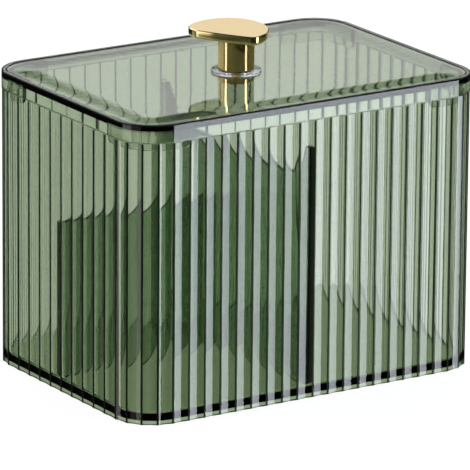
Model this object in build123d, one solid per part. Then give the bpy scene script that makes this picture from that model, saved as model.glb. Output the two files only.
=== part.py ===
"""Fluted clear box for cotton swabs, with a lift-off lid, a stone-shaped knob and a lift-out divider.

Millimetres. The origin is the middle of the base, +Z is up, +X runs along the long side, and the
front of the box faces -Y.
"""
from build123d import *
import math
import os

# Box body
BOX_WIDTH = 168.0
BOX_DEPTH = 119.0
CORNER_RADIUS = 17.0
BODY_HEIGHT = 117.2
WALL = 2.6
FLOOR_THICKNESS = 2.8
FOOT_HEIGHT = 1.4
FLOOR_FILLET = 1.6

# Flutes: hollow grooves down the outside of the body, with a sharp ridge between neighbours
FRONT_FLUTES = 18
SIDE_FLUTES = 10
CORNER_FLUTES = 4
FLUTE_DEPTH = 0.5

# Lid
SKIRT_HEIGHT = 4.3
SKIRT_WALL = 2.2
PLATE_THICKNESS = 2.7
LIP_HEIGHT = 0.8
LIP_WIDTH = 2.4
LIP_EDGE_FILLET = 0.35
TAB_CLEARANCE = 0.4
TAB_THICKNESS = 1.8
TAB_REACH = 3.2
TAB_RUN = 9.5
TAB_CORNER = 2.2

# Divider
PANEL_THICKNESS = 2.6
PANEL_CLEARANCE = 0.3
CENTRE_PANEL_X = 0.0
CENTRE_PANEL_TOP = 92.5
CROSS_PANEL_Y = 4.5
CROSS_PANEL_TOP = 71.0
EAR_HEIGHT = 13.0
EAR_TOP_WIDTH = 3.5
EAR_BASE_WIDTH = 11.0
EAR_ROUND = 1.4

# Knob
WASHER_RADIUS = 10.4
WASHER_THICKNESS = 1.0
STEM_RADIUS = 7.55
STEM_HEIGHT = 14.0
STEM_EDGE = 0.4
STONE_THICKNESS = 3.9
STONE_TOP_EDGE = 0.3
STONE_BOTTOM_ROUND = 1.4
NUT_THICKNESS = 3.1
NUT_EDGE = 0.4
SCREW_RADIUS = 2.0
SCREW_FIT = 0.05
SCREW_IN_STEM = 8.0
SCREW_IN_NUT = 2.1

# The stone-shaped plate: the circle at each of its corners, as x, y and radius from the stem's axis,
# and the radius of the side that bulges from that corner to the next one, counter-clockwise
STONE_CORNERS = [
    (-9.4, 6.3, 8.4),
    (-2.1, -15.2, 3.5),
    (-2.0, 2.6, 14.0),
]
STONE_SIDES = [150.0, 20.5, 20.2]

# Levels
FLOOR_TOP = FOOT_HEIGHT + FLOOR_THICKNESS
PLATE_BOTTOM = BODY_HEIGHT + SKIRT_HEIGHT
PLATE_TOP = PLATE_BOTTOM + PLATE_THICKNESS
LIP_TOP = PLATE_TOP + LIP_HEIGHT
STEM_BOTTOM = PLATE_TOP + WASHER_THICKNESS
STONE_BOTTOM = STEM_BOTTOM + STEM_HEIGHT
SCREW_TOP = STEM_BOTTOM + SCREW_IN_STEM
SCREW_BOTTOM = PLATE_BOTTOM - SCREW_IN_NUT


def rounded_plan(inset):
    """The box's plan, drawn in from its outer edge by inset."""
    return RectangleRounded(BOX_WIDTH - 2 * inset, BOX_DEPTH - 2 * inset, CORNER_RADIUS - inset)


def slab(inset, bottom, top):
    """A solid of the box's plan between two levels."""
    return Pos(0, 0, bottom) * extrude(rounded_plan(inset), top - bottom)


def ridge_points():
    """The ridges between the flutes, counter-clockwise round the box from its right front end."""
    flat_x = BOX_WIDTH / 2 - CORNER_RADIUS
    flat_y = BOX_DEPTH / 2 - CORNER_RADIUS
    centres = [(flat_x, -flat_y), (flat_x, flat_y), (-flat_x, flat_y), (-flat_x, -flat_y)]
    flutes = [SIDE_FLUTES, FRONT_FLUTES, SIDE_FLUTES, FRONT_FLUTES]
    points = []
    for corner, (centre_x, centre_y) in enumerate(centres):
        start = math.radians(-90 + 90 * corner)
        for step in range(CORNER_FLUTES + 1):
            angle = start + math.pi / 2 * step / CORNER_FLUTES
            x = centre_x + CORNER_RADIUS * math.cos(angle)
            y = centre_y + CORNER_RADIUS * math.sin(angle)
            points.append((x, y))
        next_x, next_y = centres[(corner + 1) % 4]
        run_x = next_x - centre_x
        run_y = next_y - centre_y
        last_x, last_y = points[-1]
        for step in range(1, flutes[corner]):
            share = step / flutes[corner]
            points.append((last_x + run_x * share, last_y + run_y * share))
    return points


def fluted_plan():
    """The body's outer outline: one shallow hollow arc between each two ridges."""
    points = ridge_points()
    arcs = []
    for index, (x0, y0) in enumerate(points):
        x1, y1 = points[(index + 1) % len(points)]
        length = math.hypot(x1 - x0, y1 - y0)
        hollow_x = (x0 + x1) / 2 - FLUTE_DEPTH * (y1 - y0) / length
        hollow_y = (y0 + y1) / 2 + FLUTE_DEPTH * (x1 - x0) / length
        arcs.append(ThreePointArc((x0, y0), (hollow_x, hollow_y), (x1, y1)))
    return make_face(Wire(arcs))


def box_body():
    """Fluted shell with a floor that stands a little above the foot of the walls."""
    shell = extrude(fluted_plan(), BODY_HEIGHT)
    room = slab(WALL, FLOOR_TOP, BODY_HEIGHT)
    room = fillet(room.edges().group_by(Axis.Z)[0], FLOOR_FILLET)
    return shell - room - slab(WALL, 0, FOOT_HEIGHT)


def locating_tab(side_x, side_y):
    """One curved tab under the lid's corner, with its lower corners rounded."""
    outer = WALL + TAB_CLEARANCE
    inner = outer + TAB_THICKNESS
    ring = rounded_plan(outer) - rounded_plan(inner)
    tab_top = PLATE_BOTTOM
    tab_bottom = BODY_HEIGHT - TAB_REACH
    tab = Pos(0, 0, tab_bottom) * extrude(ring, tab_top - tab_bottom)
    start_x = BOX_WIDTH / 2 - CORNER_RADIUS - TAB_RUN
    start_y = BOX_DEPTH / 2 - CORNER_RADIUS - TAB_RUN
    tab &= corner_window(start_x, tab_bottom, tab_top, BOX_WIDTH / 2, Plane.XZ)
    tab &= corner_window(start_y, tab_bottom, tab_top, BOX_DEPTH / 2, Plane.YZ)
    if side_x < 0:
        tab = mirror(tab, Plane.YZ)
    if side_y < 0:
        tab = mirror(tab, Plane.XZ)
    return tab


def corner_window(start, bottom, top, end, plane):
    """A block from start to end across the box, with a rounded lower corner, to cut a tab by."""
    with BuildSketch(plane) as sketch:
        with BuildLine():
            Line((start, top), (start, bottom + TAB_CORNER))
            RadiusArc((start, bottom + TAB_CORNER), (start + TAB_CORNER, bottom), -TAB_CORNER)
            Polyline((start + TAB_CORNER, bottom), (end, bottom), (end, top), (start, top))
        make_face()
    return extrude(sketch.sketch, max(BOX_WIDTH, BOX_DEPTH), both=True)


def lid():
    """Plate with a raised lip, a skirt that stands on the body's rim, and four corner tabs."""
    shell = slab(0, BODY_HEIGHT, LIP_TOP)
    shell = fillet(shell.edges().group_by(Axis.Z)[-1], LIP_EDGE_FILLET)
    shell -= slab(SKIRT_WALL, BODY_HEIGHT, PLATE_BOTTOM)
    shell -= slab(LIP_WIDTH, PLATE_TOP, LIP_TOP)
    shell -= Pos(0, 0, PLATE_BOTTOM) * extrude(Circle(SCREW_RADIUS + SCREW_FIT), PLATE_THICKNESS)
    for side_x in (-1, 1):
        for side_y in (-1, 1):
            shell += locating_tab(side_x, side_y)
    return shell


def room_length(outer, inset):
    """The space between two opposite inner walls, less the fitting clearance at both."""
    return outer - 2 * inset - 2 * PANEL_CLEARANCE


def centre_divider():
    """Panel from the front wall to the back wall, with a raised ear at each end."""
    half = room_length(BOX_DEPTH, WALL) / 2
    foot = FLOOR_TOP
    ear_top = CENTRE_PANEL_TOP + EAR_HEIGHT
    with BuildSketch(Plane.YZ) as sketch:
        with BuildLine():
            Polyline(
                (-half + FLOOR_FILLET, foot),
                (half - FLOOR_FILLET, foot),
                (half, foot + FLOOR_FILLET),
                (half, ear_top),
                (half - EAR_TOP_WIDTH, ear_top),
                (half - EAR_BASE_WIDTH, CENTRE_PANEL_TOP),
                (-half + EAR_BASE_WIDTH, CENTRE_PANEL_TOP),
                (-half + EAR_TOP_WIDTH, ear_top),
                (-half, ear_top),
                (-half, foot + FLOOR_FILLET),
                (-half + FLOOR_FILLET, foot),
            )
        make_face()
        tips = [vertex for vertex in sketch.vertices() if abs(vertex.Z - ear_top) < EAR_ROUND]
        fillet(tips, EAR_ROUND)
    panel = extrude(sketch.sketch, PANEL_THICKNESS / 2, both=True)
    return Pos(CENTRE_PANEL_X, 0, 0) * panel


def cross_divider():
    """Lower panel from the left wall to the centre panel."""
    left = -room_length(BOX_WIDTH, WALL) / 2
    right = CENTRE_PANEL_X - PANEL_THICKNESS / 2
    with BuildSketch(Plane.XZ) as sketch:
        with BuildLine():
            Polyline(
                (left + FLOOR_FILLET, FLOOR_TOP),
                (right, FLOOR_TOP),
                (right, CROSS_PANEL_TOP),
                (left, CROSS_PANEL_TOP),
                (left, FLOOR_TOP + FLOOR_FILLET),
                (left + FLOOR_FILLET, FLOOR_TOP),
            )
        make_face()
    panel = extrude(sketch.sketch, PANEL_THICKNESS / 2, both=True)
    return Pos(0, CROSS_PANEL_Y, 0) * panel


def turned_disc(radius, bottom, height, edge, bore_radius, bore_bottom, bore_top):
    """A turned piece with broken edges and a bore along its axis between two levels."""
    disc = Pos(0, 0, bottom) * extrude(Circle(radius), height)
    disc = chamfer(disc.edges(), edge)
    return disc - Pos(0, 0, bore_bottom) * extrude(Circle(bore_radius), bore_top - bore_bottom)


def knob_washer():
    """Clear washer between the stem and the lid."""
    ring = Circle(WASHER_RADIUS) - Circle(SCREW_RADIUS + SCREW_FIT)
    return Pos(0, 0, PLATE_TOP) * extrude(ring, WASHER_THICKNESS)


def knob_stem():
    """Round stem, bored from below for the screw."""
    bore = SCREW_RADIUS + SCREW_FIT
    return turned_disc(STEM_RADIUS, STEM_BOTTOM, STEM_HEIGHT, STEM_EDGE, bore, STEM_BOTTOM, SCREW_TOP)


def knob_nut():
    """Round nut under the lid, of the stem's own diameter."""
    bore = SCREW_RADIUS + SCREW_FIT
    bottom = PLATE_BOTTOM - NUT_THICKNESS
    return turned_disc(STEM_RADIUS, bottom, NUT_THICKNESS, NUT_EDGE, bore, SCREW_BOTTOM, PLATE_BOTTOM)


def knob_screw():
    """Headless screw that draws the stem and the nut together through the lid."""
    return Pos(0, 0, SCREW_BOTTOM) * extrude(Circle(SCREW_RADIUS), SCREW_TOP - SCREW_BOTTOM)


def side_centre(corner, next_corner, side_radius):
    """Centre of the side arc that two corner circles touch from inside."""
    x0, y0, radius0 = corner
    x1, y1, radius1 = next_corner
    span = math.hypot(x1 - x0, y1 - y0)
    reach0 = side_radius - radius0
    reach1 = side_radius - radius1
    along = (span ** 2 + reach0 ** 2 - reach1 ** 2) / (2 * span)
    aside = math.sqrt(reach0 ** 2 - along ** 2)
    run = Vector(x1 - x0, y1 - y0).normalized()
    return Vector(x0, y0) + run * along + Vector(-run.Y, run.X) * aside


def arc_about(centre, radius, start, end):
    """Arc from one direction to another about a centre, by less than half a turn."""
    middle = (start + end).normalized()
    points = [centre + direction * radius for direction in (start, middle, end)]
    return ThreePointArc(*points)


def stone_plan():
    """The stone's outline: three corner arcs joined by three wide side arcs that touch them."""
    count = len(STONE_CORNERS)
    corners = [Vector(x, y) for x, y, radius in STONE_CORNERS]
    arcs = []
    for index, side_radius in enumerate(STONE_SIDES):
        after = (index + 1) % count
        centre = side_centre(STONE_CORNERS[index], STONE_CORNERS[after], side_radius)
        start = (corners[index] - centre).normalized()
        end = (corners[after] - centre).normalized()
        arcs.append(arc_about(centre, side_radius, start, end))
        last_centre = side_centre(STONE_CORNERS[index - 1], STONE_CORNERS[index], STONE_SIDES[index - 1])
        last_end = (corners[index] - last_centre).normalized()
        arcs.append(arc_about(corners[index], STONE_CORNERS[index][2], last_end, start))
    return make_face(Wire(arcs))


def knob_stone():
    """Flat stone-shaped plate on the stem, with a broken upper edge and a rounded lower one."""
    stone = Pos(0, 0, STONE_BOTTOM) * extrude(stone_plan(), STONE_THICKNESS)
    stone = chamfer(stone.edges().group_by(Axis.Z)[-1], STONE_TOP_EDGE)
    return fillet(stone.edges().group_by(Axis.Z)[0], STONE_BOTTOM_ROUND)


PIECES = {
    "box_body": box_body,
    "lid": lid,
    "centre_divider": centre_divider,
    "cross_divider": cross_divider,
    "knob_stone": knob_stone,
    "knob_stem": knob_stem,
    "knob_washer": knob_washer,
    "knob_nut": knob_nut,
    "knob_screw": knob_screw,
}

os.makedirs("parts", exist_ok=True)
for name, build in PIECES.items():
    export_step(build(), f"parts/{name}.step")
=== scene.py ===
"""Looks of the fluted clear box with its lift-off lid, gold knob and lift-out divider.

Lengths are in millimetres, and MM turns them into metres. The lights, the floor and the camera's
far limit have theirs in metres. Azimuths are in degrees from the front, which faces -Y, toward +X.
"""
import math

import bmesh
import bpy
from mathutils import Matrix, Vector


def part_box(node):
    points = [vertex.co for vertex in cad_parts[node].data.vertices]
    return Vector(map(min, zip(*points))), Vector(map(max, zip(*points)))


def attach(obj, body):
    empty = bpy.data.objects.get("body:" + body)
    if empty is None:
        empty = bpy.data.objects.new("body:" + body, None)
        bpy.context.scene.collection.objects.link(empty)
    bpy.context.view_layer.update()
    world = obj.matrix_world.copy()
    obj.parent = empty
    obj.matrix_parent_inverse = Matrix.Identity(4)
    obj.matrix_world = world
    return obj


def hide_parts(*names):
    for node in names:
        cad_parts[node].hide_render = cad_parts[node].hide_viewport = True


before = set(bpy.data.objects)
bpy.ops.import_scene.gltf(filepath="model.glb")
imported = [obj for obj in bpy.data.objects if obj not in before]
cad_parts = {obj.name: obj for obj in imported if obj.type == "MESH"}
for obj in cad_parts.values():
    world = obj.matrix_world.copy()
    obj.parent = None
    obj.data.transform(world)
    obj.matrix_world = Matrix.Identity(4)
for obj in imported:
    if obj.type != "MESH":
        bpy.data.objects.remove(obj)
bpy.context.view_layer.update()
MM = 0.001

# Box body, as in the model
BOX_WIDTH = 168.0
BOX_DEPTH = 119.0
CORNER_RADIUS = 17.0
BODY_HEIGHT = 117.2
WALL = 2.6
FLOOR_TOP = 4.2
FOOT_HEIGHT = 1.4
FLOOR_FILLET = 1.6
FRONT_FLUTES = 18
SIDE_FLUTES = 10
CORNER_FLUTES = 4
FLUTE_DEPTH = 0.5

# Lid, as in the model
SKIRT_WALL = 2.2
PLATE_BOTTOM = 121.5
PLATE_TOP = 124.2
LIP_TOP = 125.0
LIP_WIDTH = 2.4
SCREW_HOLE = 2.05
TAB_CLEARANCE = 0.4
TAB_THICKNESS = 1.8
TAB_BOTTOM = 113.8
TAB_RUN = 9.5
TAB_CORNER = 2.2

# Divider, as in the model
PANEL_THICKNESS = 2.6
PANEL_TOP = 92.5
EAR_TOP_WIDTH = 3.5
EAR_FOOT_WIDTH = 11.0

# Fine shape that the model leaves out
EDGE_ROUND = 0.2
LIP_CROWN = 1.1
LIP_INNER_DROP = 0.35
LIP_OUTER_DROP = 0.7
BORDER_WIDTH = 14.0
BORDER_RISE = 0.4
PANEL_EDGE = 0.3
WASHER_EDGE = 0.2
WASHER_BEND = ((1.0, 0.0), (0.3, 0.3), (0.0, 1.0))
TAB_LET_IN = 0.5

# The gap between touching clear pieces, and how near an edge a ring holds the shading flat
SEAM = 0.04
HOLD = 0.04

# Ridges: rounding as a share of half a flute, and half the width of a ridge's painted shade line as a
# share of a flute
RIDGE_ROUND = 0.06
FRONT_RIDGE_SHADE = 0.055
SIDE_RIDGE_SHADE = 0.07

# Stops along half a painted shade line, and how far along it a stop still counts as painted shade
RIDGE_STOPS = (0.0, 0.3, 0.6, 1.0)
SHADE_LINE_REACH = 0.9

# Other painted shade lines: the faces whose normal, upward or across the panel, is below these
LIP_SHADE_SLOPE = 0.87
PANEL_SHADE_SLOPE = 0.97
PANEL_TOP_SLOPE = 0.99

# Steps of the meshes
HOLLOW_STEPS = 12
FILLET_STEPS = 6
EDGE_STEPS = 3
LIP_STEPS = 8
BORDER_STEPS = 16
TAB_STEPS = 14
TAB_CORNER_STEPS = 6

# Broken edges, and angles in degrees past which an edge is broken or stays sharp
ROUND_PROFILE = 0.5
BEVEL_ANGLE = 30.0
SHARP_ANGLE = 25.0
PANEL_SHARP_ANGLE = 35.0
WASHER_SHARP_ANGLE = 40.0

# Plastic, metal and the painted shade on edges, with densities and the ripple's scale per metre
PLASTIC_IOR = 1.49
GREEN = (0.337, 0.473, 0.223)
GREEN_DENSITY = 300.0
PANEL_GREEN = (0.298, 0.486, 0.224)
PANEL_DENSITY = 650.0
WASHER_GREY = (0.72, 0.74, 0.8)
WASHER_DENSITY = 100.0
RIPPLE_SCALE = (280.0, 280.0, 10.0)
RIPPLE_DEPTH = 0.02
# Painted shade on ridges and edges, where the clear plastic turns light away: colour, roughness and shine
PAINTED_EDGE_SHADE = (0.008, 0.014, 0.008)
PAINTED_EDGE_SHADE_ROUGHNESS = 0.3
PAINTED_EDGE_SHADE_SHINE = 0.1
STONE_GOLD = (1.0, 0.77, 0.4)
STONE_SIDE_ROUGHNESS = 0.08
STONE_TOP_ROUGHNESS = 0.26
STONE_TOP_SLOPES = (0.9, 0.98)
STEM_GOLD = (0.78, 0.56, 0.27)
STEM_ROUGHNESS = 0.06

# Floor: its white, the part of it that shows the shadow, and the shade seen through the base
FLOOR_SIZE = 12.0
FLOOR_WHITE = (0.9, 0.9, 0.9)
FLOOR_SHADOW = (0.3, 0.3, 0.3)
FLOOR_SHADE = (0.44, 0.5, 0.38)

# Lights: name, azimuth, width, radiance and colour
COOL_WHITE = (0.86, 0.93, 1.0)
WARM_WHITE = (1.0, 0.97, 0.9)
TALL_LIGHTS = (
    ("softbox", 42.0, 1.35, 7.0, COOL_WHITE),
    ("strip", -103.0, 1.5, 1.6, WARM_WHITE),
    ("strip_edge", -75.0, 1.2, 0.35, WARM_WHITE),
)
LIGHT_DISTANCE = 3.0
LIGHT_HEIGHT = 2.2
LIGHT_RISE = 22.0
ABOVE_SHARE = 0.3
GLINT_AZIMUTHS = (31.0, -101.0)
GLINT_WIDTH = 0.65
GLINT_RADIANCE = 7.0

# Studio in reflections: a white panel, from where to where it comes in behind and above the box
STUDIO_DARK = 0.02
STUDIO_WHITE = 1.05
STUDIO_BEHIND = (0.3, 0.6)
STUDIO_ABOVE = (0.21, 0.25)
STUDIO_HIGH = (0.32, 0.42)
STUDIO_HIGH_EXTRA = 0.55

# Studio through the plastic: levels in front, beside and behind, and from where to where they change
THROUGH_FRONT = 0.4
THROUGH_SIDES = 0.6
THROUGH_BEHIND = 1.0
FRONT_TO_SIDES = (-0.75, -0.45)
SIDES_TO_BEHIND = (0.35, 0.55)

# Light paths
LIGHT_BOUNCES = 32
GLOSSY_BOUNCES = 16

# Camera, fitted to the edges of the box
AZIMUTH = -32.77
ELEVATION = 16.07
DISTANCE = 2390.0
FOCUS_PIXELS = 5781.0
PICTURE = 470.0
SENSOR = 36.0
CENTRE_HEIGHT = 62.5
CENTRE_PIXEL = (235.0, 215.7)
ROLL = 0.47
CLIP_END = 50.0


# Plan of the box

def corner_centres():
    """Centres of the four rounded corners, from the right front one, counter-clockwise."""
    x = BOX_WIDTH / 2 - CORNER_RADIUS
    y = BOX_DEPTH / 2 - CORNER_RADIUS
    return [Vector((x, -y)), Vector((x, y)), Vector((-x, y)), Vector((-x, -y))]


def flute_shares(line):
    """Places along one flute, closer together at its ridge, with a stop at each end of the ridge's
    painted shade line.
    """
    ridge = [stop * line for stop in RIDGE_STOPS]
    hollow = [k / HOLLOW_STEPS for k in range(1, HOLLOW_STEPS)]
    return ridge + hollow + [1 - share for share in reversed(ridge[1:])]


def flute_inset(share):
    """How far the wall lies inside the line through the ridges, at a place along one flute."""
    reach = 1 - abs(2 * share - 1)
    if reach > RIDGE_ROUND:
        return FLUTE_DEPTH * (2 * reach - reach * reach)
    bend = FLUTE_DEPTH * (1 - RIDGE_ROUND) / RIDGE_ROUND
    return bend * reach * reach + FLUTE_DEPTH * RIDGE_ROUND


def in_ridge_shade(share, line):
    """Whether a place along one flute lies inside the painted shade line of a ridge."""
    return min(share, 1 - share) < SHADE_LINE_REACH * line


def corner_samples(centre, start):
    """Points round one corner, from the angle at which it starts."""
    step = math.pi / 2 / CORNER_FLUTES
    samples = []
    for flute in range(CORNER_FLUTES):
        for share in flute_shares(SIDE_RIDGE_SHADE):
            angle = start + step * (flute + share)
            out = Vector((math.cos(angle), math.sin(angle)))
            chord = CORNER_RADIUS * math.cos(step / 2) - flute_inset(share)
            inset = CORNER_RADIUS - chord / math.cos(step * (share - 0.5))
            samples.append((centre + out * CORNER_RADIUS, out, inset, in_ridge_shade(share, SIDE_RIDGE_SHADE)))
    return samples


def wall_samples(first, last, out, flutes, line):
    """Points along one flat wall, from its first place to its last."""
    samples = []
    for flute in range(flutes):
        for share in flute_shares(line):
            place = first.lerp(last, (flute + share) / flutes)
            samples.append((place, out, flute_inset(share), in_ridge_shade(share, line)))
    return samples


def plan_samples():
    """Points round the plan: place on the outer edge, outward direction, flute inset, in a painted shade
    line.
    """
    walls = [(SIDE_FLUTES, SIDE_RIDGE_SHADE), (FRONT_FLUTES, FRONT_RIDGE_SHADE)] * 2
    centres = corner_centres()
    samples = []
    for corner, (flutes, line) in enumerate(walls):
        start = math.radians(-90 + 90 * corner)
        samples += corner_samples(centres[corner], start)
        end = start + math.pi / 2
        out = Vector((math.cos(end), math.sin(end)))
        first = centres[corner] + out * CORNER_RADIUS
        last = centres[(corner + 1) % len(centres)] + out * CORNER_RADIUS
        samples += wall_samples(first, last, out, flutes, line)
    return samples


SAMPLES = plan_samples()


# Rings and solids through them

def ring(fluted, inset, height):
    """One closed loop of the box's plan: fluted or plain, drawn in by inset, at a height."""
    points = []
    for place, out, flute, dark in SAMPLES:
        at = place - out * (inset + fluted * flute)
        points.append((at.x, at.y, height))
    return points


def round_ring(radius, height):
    """A circle with one point for each point of the plan."""
    points = []
    for place, out, flute, dark in SAMPLES:
        angle = math.atan2(place.y, place.x)
        points.append((radius * math.cos(angle), radius * math.sin(angle), height))
    return points


def edge_rings(fluted, inset, height, side, up, reach=EDGE_ROUND, drop=EDGE_ROUND, steps=EDGE_STEPS):
    """Rings that round an edge over a reach and a drop, with one more ring beside it at each end.

    side is 1 where the wall is inside the edge, and up is 1 at a top edge.
    """
    rings = [ring(fluted, inset, height - up * (drop + HOLD))]
    for k in range(steps + 1):
        turn = math.pi / 2 * k / steps
        inward = side * reach * (1 - math.cos(turn))
        rise = up * drop * (math.sin(turn) - 1)
        rings.append(ring(fluted, inset + inward, height + rise))
    rings.append(ring(fluted, inset + side * (reach + HOLD), height))
    return rings


def inner_corner_rings(inset, height):
    """Rings at the sharp corner between an inner wall and the plate above it."""
    return [ring(0, inset, height - HOLD), ring(0, inset, height), ring(0, inset + HOLD, height)]


def add_object(name, data):
    """A new object in the scene, of a mesh, a light or a camera."""
    piece = bpy.data.objects.new(name, data)
    bpy.context.scene.collection.objects.link(piece)
    return piece


def loft(name, rings, closed=False):
    """A solid through rings of equally many points, capped at both ends or closed in a tube."""
    count = len(rings[0])
    points = [(x * MM, y * MM, z * MM) for loop in rings for x, y, z in loop]
    faces = []
    last = len(rings) if closed else len(rings) - 1
    for level in range(last):
        low = level * count
        high = (level + 1) % len(rings) * count
        for k in range(count):
            after = (k + 1) % count
            faces.append((low + k, low + after, high + after, high + k))
    if not closed:
        faces.append(tuple(reversed(range(count))))
        faces.append(tuple(range(len(points) - count, len(points))))
    mesh = bpy.data.meshes.new(name)
    mesh.from_pydata(points, [], faces)
    return add_object(name, mesh)


def finish_mesh(piece, angle=SHARP_ANGLE):
    """Outward faces, smooth but for edges sharper than the angle."""
    work = bmesh.new()
    work.from_mesh(piece.data)
    bmesh.ops.recalc_face_normals(work, faces=work.faces)
    work.to_mesh(piece.data)
    work.free()
    piece.data.shade_smooth()
    piece.data.set_sharp_from_angle(angle=math.radians(angle))


# Box body

def floor_rings():
    """From the floor's flat top through the rounding at its edge to the inner wall."""
    rings = [ring(0, WALL + FLOOR_FILLET + HOLD, FLOOR_TOP)]
    for k in range(FILLET_STEPS + 1):
        turn = math.pi / 2 * k / FILLET_STEPS
        inset = WALL + FLOOR_FILLET * (1 - math.sin(turn))
        rings.append(ring(0, inset, FLOOR_TOP + FLOOR_FILLET * (1 - math.cos(turn))))
    return rings


def paint_ridge_shade(piece, rings):
    """Gives the second material, painted shade, to the outer wall's faces that lie on a ridge.

    The outer wall is the last band between two rings that is taller than half the body.
    """
    count = len(SAMPLES)
    heights = [loop[0][2] for loop in rings]
    tall = [k for k in range(len(rings) - 1) if abs(heights[k] - heights[k + 1]) > BODY_HEIGHT / 2]
    first_face = tall[-1] * count
    for k in range(count):
        dark_here = SAMPLES[k][3]
        dark_after = SAMPLES[(k + 1) % count][3]
        if dark_here or dark_after:
            piece.data.polygons[first_face + k].material_index = 1


def make_box_shell():
    """Fluted body: from the floor up the inside to the rim, over it, down the outside and under."""
    rim = BODY_HEIGHT - SEAM / 2
    rings = floor_rings()
    rings += edge_rings(0, WALL, rim, -1, 1)
    rings += reversed(edge_rings(1, 0, rim, 1, 1))
    rings += edge_rings(1, 0, 0, 1, -1)
    rings += reversed(edge_rings(0, WALL, 0, -1, -1))
    rings += inner_corner_rings(WALL, FOOT_HEIGHT)
    piece = loft("box_shell", rings)
    paint_ridge_shade(piece, rings)
    finish_mesh(piece)
    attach(piece, "box")
    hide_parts("box_body")
    return piece


# Lid

def border_rings():
    """The plate's border, which rises a little from the flat middle to the lip."""
    rings = []
    for k in range(BORDER_STEPS + 1):
        share = k / BORDER_STEPS
        rise = BORDER_RISE * (1 - 3 * share ** 2 + 2 * share ** 3)
        rings.append(ring(0, LIP_WIDTH + BORDER_WIDTH * share, PLATE_TOP + rise))
    return rings


def tab_line():
    """Places along a tab, from end to end, with the height of its lower edge at each."""
    run = CORNER_RADIUS * math.pi / 4 + TAB_RUN
    end = []
    for k in range(TAB_CORNER_STEPS, -1, -1):
        turn = math.pi / 2 * k / TAB_CORNER_STEPS
        along = run - TAB_CORNER * (1 - math.cos(turn))
        end.append((along, TAB_BOTTOM + TAB_CORNER * (1 - math.sin(turn))))
    line = [(-along, low) for along, low in reversed(end)]
    for k in range(1, 2 * TAB_STEPS):
        line.append(((run - TAB_CORNER) * (k / TAB_STEPS - 1), TAB_BOTTOM))
    return line + end


def tab_place(corner, along, inset):
    """A place in a tab's plan: round the corner first, then straight on along the wall."""
    side = 1 if along > 0 else -1
    arc = min(abs(along), CORNER_RADIUS * math.pi / 4)
    angle = math.radians(-45 + 90 * corner) + side * arc / CORNER_RADIUS
    out = Vector((math.cos(angle), math.sin(angle)))
    onward = Vector((-out.y, out.x)) * side * (abs(along) - arc)
    return corner_centres()[corner] + onward + out * (CORNER_RADIUS - inset)


def make_tab(corner):
    """One curved tab under a corner of the lid, let a little into the plate."""
    outer = WALL + TAB_CLEARANCE
    inner = outer + TAB_THICKNESS
    top = PLATE_BOTTOM + TAB_LET_IN
    sections = []
    for along, low in tab_line():
        section = []
        for inset, height in ((outer, low), (outer, top), (inner, top), (inner, low)):
            at = tab_place(corner, along, inset)
            section.append((at.x, at.y, height))
        sections.append(section)
    tab = loft("tab", sections)
    finish_mesh(tab)
    return tab


def add_tabs(lid):
    """Joins the four tabs to the lid's underside."""
    for corner in range(4):
        tab = make_tab(corner)
        join = lid.modifiers.new("join", "BOOLEAN")
        join.operation = "UNION"
        join.solver = "EXACT"
        join.object = tab
        graph = bpy.context.evaluated_depsgraph_get()
        joined = bpy.data.meshes.new_from_object(lid.evaluated_get(graph))
        lid.modifiers.clear()
        lid.data = joined
        bpy.data.objects.remove(tab)


def paint_lip_shade(piece):
    """Gives the second material, painted shade, to the steep part of the lip's two top edges."""
    low = (LIP_TOP - LIP_OUTER_DROP) * MM
    for face in piece.data.polygons:
        if face.center.z > low and abs(face.normal.z) < LIP_SHADE_SLOPE:
            face.material_index = 1


def make_lid_shell():
    """Lid: from the screw hole over the plate and the lip, down the skirt and back underneath."""
    foot = BODY_HEIGHT + SEAM / 2
    rings = [round_ring(SCREW_HOLE, PLATE_TOP)]
    rings += reversed(border_rings())
    rings += edge_rings(0, LIP_WIDTH, LIP_TOP, -1, 1, LIP_CROWN, LIP_INNER_DROP, LIP_STEPS)
    rings += reversed(edge_rings(0, 0, LIP_TOP, 1, 1, LIP_CROWN, LIP_OUTER_DROP, LIP_STEPS))
    rings += edge_rings(0, 0, foot, 1, -1)
    rings += reversed(edge_rings(0, SKIRT_WALL, foot, -1, -1))
    rings += inner_corner_rings(SKIRT_WALL, PLATE_BOTTOM)
    rings.append(round_ring(SCREW_HOLE, PLATE_BOTTOM))
    piece = loft("lid_shell", rings, closed=True)
    finish_mesh(piece)
    add_tabs(piece)
    paint_lip_shade(piece)
    finish_mesh(piece)
    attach(piece, "lid")
    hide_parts("lid")
    return piece


def make_washer():
    """The knob's washer, held a seam away from the stem and the lid."""
    low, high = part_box("knob_washer")
    outer = high.x / MM
    bottom = low.z / MM + SEAM
    top = high.z / MM - SEAM
    profile = [(SCREW_HOLE, bottom)]
    for inward, upward in WASHER_BEND:
        profile.append((outer - inward * WASHER_EDGE, bottom + upward * WASHER_EDGE))
    for inward, downward in reversed(WASHER_BEND):
        profile.append((outer - inward * WASHER_EDGE, top - downward * WASHER_EDGE))
    profile.append((SCREW_HOLE, top))
    piece = loft("washer", [round_ring(radius, height) for radius, height in profile], closed=True)
    finish_mesh(piece, WASHER_SHARP_ANGLE)
    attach(piece, "lid")
    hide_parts("knob_washer")
    return piece


# Divider

def centre_outline():
    """The centre panel from the side: cut off at the floor's rounding, with an ear at each end."""
    low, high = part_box("centre_divider")
    foot = low.z + SEAM * MM
    fillet = FLOOR_FILLET * MM
    half = high.y
    side = [
        (half - fillet, foot),
        (half, foot + fillet),
        (half, high.z),
        (half - EAR_TOP_WIDTH * MM, high.z),
        (half - EAR_FOOT_WIDTH * MM, PANEL_TOP * MM),
    ]
    return side + [(-y, z) for y, z in reversed(side)]


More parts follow.
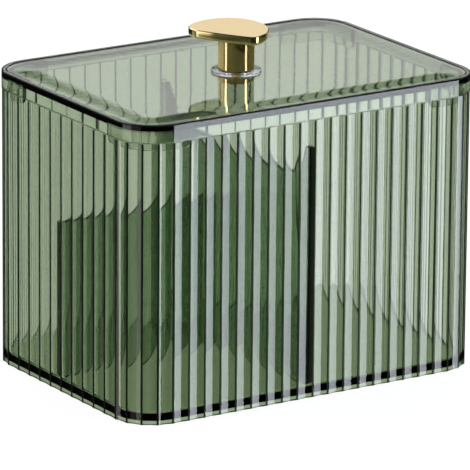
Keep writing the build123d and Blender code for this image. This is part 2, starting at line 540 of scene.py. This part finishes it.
def cross_outline():
    """The cross panel from the front, a seam away from the floor and the centre panel."""
    low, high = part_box("cross_divider")
    foot = low.z + SEAM * MM
    end = high.x - SEAM * MM
    fillet = FLOOR_FILLET * MM
    return [
        (low.x + fillet, foot),
        (end, foot),
        (end, high.z),
        (low.x, high.z),
        (low.x, low.z + fillet),
    ]


def paint_panel_edge_shade(piece, across):
    """Gives the second material, painted shade, to a panel's ends and broken edges, but not to its flat
    top.
    """
    for face in piece.data.polygons:
        off_side = abs(face.normal.dot(across)) < PANEL_SHADE_SLOPE
        off_top = abs(face.normal.z) < PANEL_TOP_SLOPE
        face.material_index = int(off_side and off_top)


def make_panel(name, node, outline, across):
    """A divider panel: an outline, grown to the panel's thickness, with broken edges."""
    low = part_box(node)[0]
    along = Vector((across.y, across.x, 0))
    start = across * low.dot(across)
    work = bmesh.new()
    verts = [work.verts.new(start + along * place + Vector((0, 0, height))) for place, height in outline]
    grown = bmesh.ops.extrude_face_region(work, geom=[work.faces.new(verts)])
    moved = [item for item in grown["geom"] if isinstance(item, bmesh.types.BMVert)]
    bmesh.ops.translate(work, verts=moved, vec=across * PANEL_THICKNESS * MM)
    bmesh.ops.recalc_face_normals(work, faces=work.faces)
    sharp = [edge for edge in work.edges if edge.calc_face_angle(0) > math.radians(BEVEL_ANGLE)]
    bmesh.ops.bevel(
        work,
        geom=sharp,
        offset=PANEL_EDGE * MM,
        segments=EDGE_STEPS,
        profile=ROUND_PROFILE,
        affect="EDGES",
    )
    mesh = bpy.data.meshes.new(name)
    work.to_mesh(mesh)
    work.free()
    piece = add_object(name, mesh)
    finish_mesh(piece, PANEL_SHARP_ANGLE)
    paint_panel_edge_shade(piece, across)
    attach(piece, "divider")
    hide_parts(node)
    return piece


def make_dividers():
    """The two panels that lift out together."""
    centre = make_panel("centre_panel", "centre_divider", centre_outline(), Vector((1, 0, 0)))
    cross = make_panel("cross_panel", "cross_divider", cross_outline(), Vector((0, 1, 0)))
    return [centre, cross]


# Small node networks

def spread(tree, source, between, low=0.0, high=1.0, clamp=True):
    """A value that goes from low to high while the source goes between two values."""
    node = tree.nodes.new("ShaderNodeMapRange")
    node.clamp = clamp
    node.inputs["From Min"].default_value = between[0]
    node.inputs["From Max"].default_value = between[1]
    node.inputs["To Min"].default_value = low
    node.inputs["To Max"].default_value = high
    tree.links.new(source, node.inputs["Value"])
    return node.outputs["Result"]


def calculate(tree, operation, first, second=0.0):
    """The result of an operation on a value and a second value or number."""
    node = tree.nodes.new("ShaderNodeMath")
    node.operation = operation
    tree.links.new(first, node.inputs[0])
    if isinstance(second, float):
        node.inputs[1].default_value = second
    else:
        tree.links.new(second, node.inputs[1])
    return node.outputs[0]


def components(tree, kind, output):
    """The X, Y and Z of a vector that a new node of this kind gives out."""
    source = tree.nodes.new(kind)
    split = tree.nodes.new("ShaderNodeSeparateXYZ")
    tree.links.new(source.outputs[output], split.inputs[0])
    return split.outputs


def coloured(tree, kind, colour):
    """A plain shader of this kind and colour."""
    node = tree.nodes.new(kind)
    node.inputs["Color"].default_value = (*colour, 1)
    return node.outputs[0]


def mixed(tree, share, first, second):
    """The first shader where the share is 0, and the second where it is 1."""
    node = tree.nodes.new("ShaderNodeMixShader")
    tree.links.new(share, node.inputs["Fac"])
    tree.links.new(first, node.inputs[1])
    tree.links.new(second, node.inputs[2])
    return node.outputs[0]


# Materials

def new_material(name):
    """A material and its shader."""
    material = bpy.data.materials.new(name)
    material.use_nodes = True
    return material, material.node_tree.nodes["Principled BSDF"]


def add_ripple(tree, shader):
    """The faint ripple of a moulded wall: narrow across the box and drawn out in height."""
    place = tree.nodes.new("ShaderNodeTexCoord")
    stretch = tree.nodes.new("ShaderNodeMapping")
    stretch.inputs["Scale"].default_value = RIPPLE_SCALE
    tree.links.new(place.outputs["Object"], stretch.inputs["Vector"])
    wave = tree.nodes.new("ShaderNodeTexNoise")
    wave.inputs["Scale"].default_value = 1.0
    wave.inputs["Detail"].default_value = 1.0
    tree.links.new(stretch.outputs["Vector"], wave.inputs["Vector"])
    bump = tree.nodes.new("ShaderNodeBump")
    bump.inputs["Strength"].default_value = 1.0
    bump.inputs["Distance"].default_value = RIPPLE_DEPTH * MM
    tree.links.new(wave.outputs["Fac"], bump.inputs["Height"])
    tree.links.new(bump.outputs["Normal"], shader.inputs["Normal"])


def clear_plastic(name, colour, density):
    """Clear plastic that takes out light along its whole path, with a faint ripple."""
    material, shader = new_material(name)
    tree = material.node_tree
    shader.inputs["Base Color"].default_value = (1, 1, 1, 1)
    shader.inputs["Transmission Weight"].default_value = 1.0
    shader.inputs["IOR"].default_value = PLASTIC_IOR
    shader.inputs["Roughness"].default_value = 0.0
    add_ripple(tree, shader)
    volume = tree.nodes.new("ShaderNodeVolumeAbsorption")
    volume.inputs["Color"].default_value = (*colour, 1)
    volume.inputs["Density"].default_value = density
    tree.links.new(volume.outputs["Volume"], tree.nodes["Material Output"].inputs["Volume"])
    return material


def painted_shade_line_material():
    """Painted shade: opaque and nearly black, where edges of the clear plastic turn light away."""
    material, shader = new_material("painted_edge_shade")
    shader.inputs["Base Color"].default_value = (*PAINTED_EDGE_SHADE, 1)
    shader.inputs["Roughness"].default_value = PAINTED_EDGE_SHADE_ROUGHNESS
    shader.inputs["Specular IOR Level"].default_value = PAINTED_EDGE_SHADE_SHINE
    return material


def polished_metal(name, colour, roughness):
    """Metal with the same colour and polish all over."""
    material, shader = new_material(name)
    shader.inputs["Base Color"].default_value = (*colour, 1)
    shader.inputs["Metallic"].default_value = 1.0
    shader.inputs["Roughness"].default_value = roughness
    return material


def satin_topped_metal(name, colour):
    """Metal that is satin where it faces up and polished on its sides."""
    material = polished_metal(name, colour, STONE_SIDE_ROUGHNESS)
    tree = material.node_tree
    upward = components(tree, "ShaderNodeNewGeometry", "Normal")["Z"]
    rough = spread(tree, upward, STONE_TOP_SLOPES, STONE_SIDE_ROUGHNESS, STONE_TOP_ROUGHNESS)
    tree.links.new(rough, tree.nodes["Principled BSDF"].inputs["Roughness"])
    return material


def assign(piece, *materials):
    """Gives a new piece its materials, in order."""
    for material in materials:
        piece.data.materials.append(material)


def dress_node(node, material):
    """Puts a material on a piece that is used as it is in the frame."""
    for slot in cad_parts[node].material_slots:
        slot.material = material


# Floor

def under_box(tree, path):
    """One where a ray that came through the plastic meets the floor inside the box's walls."""
    place = components(tree, "ShaderNodeNewGeometry", "Position")
    inside = path["Is Transmission Ray"]
    for side, length in (("X", BOX_WIDTH), ("Y", BOX_DEPTH)):
        off_middle = calculate(tree, "ABSOLUTE", place[side])
        within = calculate(tree, "LESS_THAN", off_middle, (length / 2 - WALL) * MM)
        inside = calculate(tree, "MULTIPLY", inside, within)
    return inside


def floor_surface(tree):
    """White where it is seen directly, with the object's shadow.

    Reflections don't see it. Through the plastic it shows only inside the walls, in a shade of its own.
    """
    path = tree.nodes.new("ShaderNodeLightPath").outputs
    seen = calculate(tree, "MAXIMUM", path["Is Camera Ray"], path["Is Transmission Ray"])
    bright = tree.nodes.new("ShaderNodeAddShader")
    tree.links.new(coloured(tree, "ShaderNodeBsdfDiffuse", FLOOR_SHADOW), bright.inputs[0])
    tree.links.new(coloured(tree, "ShaderNodeEmission", FLOOR_WHITE), bright.inputs[1])
    lit = mixed(tree, seen, coloured(tree, "ShaderNodeBsdfDiffuse", FLOOR_WHITE), bright.outputs[0])
    clear = tree.nodes.new("ShaderNodeBsdfTransparent").outputs[0]
    shade = coloured(tree, "ShaderNodeEmission", FLOOR_SHADE)
    through = mixed(tree, under_box(tree, path), clear, shade)
    return mixed(tree, path["Is Glossy Ray"], lit, through)


def make_floor():
    """The floor that the box stands on."""
    size = FLOOR_SIZE
    mesh = bpy.data.meshes.new("floor")
    corners = [(-size, -size, 0), (size, -size, 0), (size, size, 0), (-size, size, 0)]
    mesh.from_pydata(corners, [], [(0, 1, 2, 3)])
    floor = add_object("floor", mesh)
    material = bpy.data.materials.new("floor")
    material.use_nodes = True
    tree = material.node_tree
    tree.nodes.clear()
    out = tree.nodes.new("ShaderNodeOutputMaterial")
    tree.links.new(floor_surface(tree), out.inputs["Surface"])
    assign(floor, material)


# Lights and surroundings

def direction(azimuth, elevation):
    """The way from the box to a place at an azimuth and an elevation, in degrees."""
    turn = math.radians(azimuth)
    rise = math.radians(elevation)
    return Vector((math.sin(turn) * math.cos(rise), -math.cos(turn) * math.cos(rise), math.sin(rise)))


def add_panel_light(name, azimuth, elevation, width, radiance, colour, in_reflections):
    """A flat light that faces the box's middle, for reflections only or for the floor only."""
    data = bpy.data.lights.new(name, "AREA")
    data.shape = "RECTANGLE"
    data.size = width
    data.size_y = LIGHT_HEIGHT
    data.energy = radiance * width * LIGHT_HEIGHT * math.pi
    data.color = colour
    lamp = add_object(name, data)
    away = direction(azimuth, elevation)
    lamp.location = Vector((0, 0, CENTRE_HEIGHT * MM)) + away * LIGHT_DISTANCE
    lamp.rotation_euler = away.to_track_quat("Z", "Y").to_euler()
    lamp.visible_camera = False
    lamp.visible_transmission = False
    lamp.visible_glossy = in_reflections
    lamp.visible_diffuse = not in_reflections


def add_lights():
    """Tall lights that only the floor sees, each with a fainter twin and one below it for reflections."""
    for name, azimuth, width, radiance, colour in TALL_LIGHTS:
        faint = radiance * ABOVE_SHARE
        add_panel_light(name, azimuth, LIGHT_RISE, width, radiance, colour, False)
        add_panel_light(name + "_above", azimuth, LIGHT_RISE, width, faint, colour, True)
        add_panel_light(name + "_below", azimuth, -LIGHT_RISE, width, radiance, colour, True)
    for azimuth in GLINT_AZIMUTHS:
        add_panel_light("glint", azimuth, LIGHT_RISE, GLINT_WIDTH, GLINT_RADIANCE, COOL_WHITE, True)


def reflected_level(tree, way):
    """What reflections see: nearly dark, but for a white panel above and behind, brighter higher up."""
    behind = spread(tree, way["Y"], STUDIO_BEHIND)
    above = spread(tree, way["Z"], STUDIO_ABOVE)
    high = spread(tree, way["Z"], STUDIO_HIGH, 0.0, STUDIO_HIGH_EXTRA)
    panel = calculate(tree, "MULTIPLY", behind, calculate(tree, "ADD", above, high))
    return spread(tree, panel, (0.0, 1.0), STUDIO_DARK, STUDIO_WHITE, clamp=False)


def seen_through_level(tree, way):
    """What shows through the plastic: white behind the box, and darker beside and in front of it."""
    near = spread(tree, way["Y"], FRONT_TO_SIDES, THROUGH_FRONT, THROUGH_SIDES)
    far = spread(tree, way["Y"], SIDES_TO_BEHIND, 0.0, THROUGH_BEHIND - THROUGH_SIDES)
    return calculate(tree, "ADD", near, far)


def make_world():
    """White for what is seen directly, and a studio for reflections and for what is seen through."""
    world = bpy.data.worlds.new("studio")
    bpy.context.scene.world = world
    world.use_nodes = True
    tree = world.node_tree
    tree.nodes.clear()
    way = components(tree, "ShaderNodeTexCoord", "Generated")
    path = tree.nodes.new("ShaderNodeLightPath").outputs
    studio = tree.nodes.new("ShaderNodeMix")
    tree.links.new(path["Is Transmission Ray"], studio.inputs[0])
    tree.links.new(reflected_level(tree, way), studio.inputs[2])
    tree.links.new(seen_through_level(tree, way), studio.inputs[3])
    strength = calculate(tree, "MAXIMUM", path["Is Camera Ray"], studio.outputs[0])
    glow = tree.nodes.new("ShaderNodeBackground")
    glow.inputs["Color"].default_value = (1, 1, 1, 1)
    tree.links.new(strength, glow.inputs["Strength"])
    out = tree.nodes.new("ShaderNodeOutputWorld")
    tree.links.new(glow.outputs[0], out.inputs["Surface"])


# Camera

def camera_axes():
    """The camera's own right, up and back, turned so that the box's middle is where the photo has it."""
    turn = math.radians(AZIMUTH)
    roll = math.radians(ROLL)
    away = direction(AZIMUTH, ELEVATION)
    level = Vector((math.cos(turn), math.sin(turn), 0))
    upright = away.cross(level)
    right = level * math.cos(roll) + upright * math.sin(roll)
    up = upright * math.cos(roll) - level * math.sin(roll)
    off_x = (CENTRE_PIXEL[0] - PICTURE / 2) / FOCUS_PIXELS
    off_y = (PICTURE / 2 - CENTRE_PIXEL[1]) / FOCUS_PIXELS
    back = (away + right * off_x + up * off_y).normalized()
    side = up.cross(back).normalized()
    return side, back.cross(side), back


def add_camera():
    """The camera on the photograph's line of sight."""
    data = bpy.data.cameras.new("camera")
    data.lens = FOCUS_PIXELS * SENSOR / PICTURE
    data.sensor_width = SENSOR
    data.clip_end = CLIP_END
    camera = add_object("camera", data)
    place = Vector((0, 0, CENTRE_HEIGHT * MM)) + direction(AZIMUTH, ELEVATION) * DISTANCE * MM
    turned = Matrix(camera_axes()).transposed()
    camera.matrix_world = Matrix.Translation(place) @ turned.to_4x4()
    bpy.context.scene.camera = camera


# Dressing the pieces

green = clear_plastic("green_clear_plastic", GREEN, GREEN_DENSITY)
panel_green = clear_plastic("green_panel", PANEL_GREEN, PANEL_DENSITY)
# Painted shade for the ridges, the lip's top edges and the panels' edges
painted_edge_shade = painted_shade_line_material()
washer_clear = clear_plastic("clear_washer", WASHER_GREY, WASHER_DENSITY)
satin_gold = satin_topped_metal("satin_gold", STONE_GOLD)
polished_gold = polished_metal("polished_gold", STEM_GOLD, STEM_ROUGHNESS)

assign(make_box_shell(), green, painted_edge_shade)
assign(make_lid_shell(), green, painted_edge_shade)
for panel in make_dividers():
    assign(panel, panel_green, painted_edge_shade)
assign(make_washer(), washer_clear)
dress_node("knob_stone", satin_gold)
for gold_node in ("knob_stem", "knob_nut", "knob_screw"):
    dress_node(gold_node, polished_gold)

make_floor()
add_lights()
make_world()
add_camera()

scene = bpy.context.scene
scene.view_settings.view_transform = "Standard"
scene.cycles.max_bounces = LIGHT_BOUNCES
scene.cycles.transmission_bounces = LIGHT_BOUNCES
scene.cycles.transparent_max_bounces = LIGHT_BOUNCES
scene.cycles.glossy_bounces = GLOSSY_BOUNCES
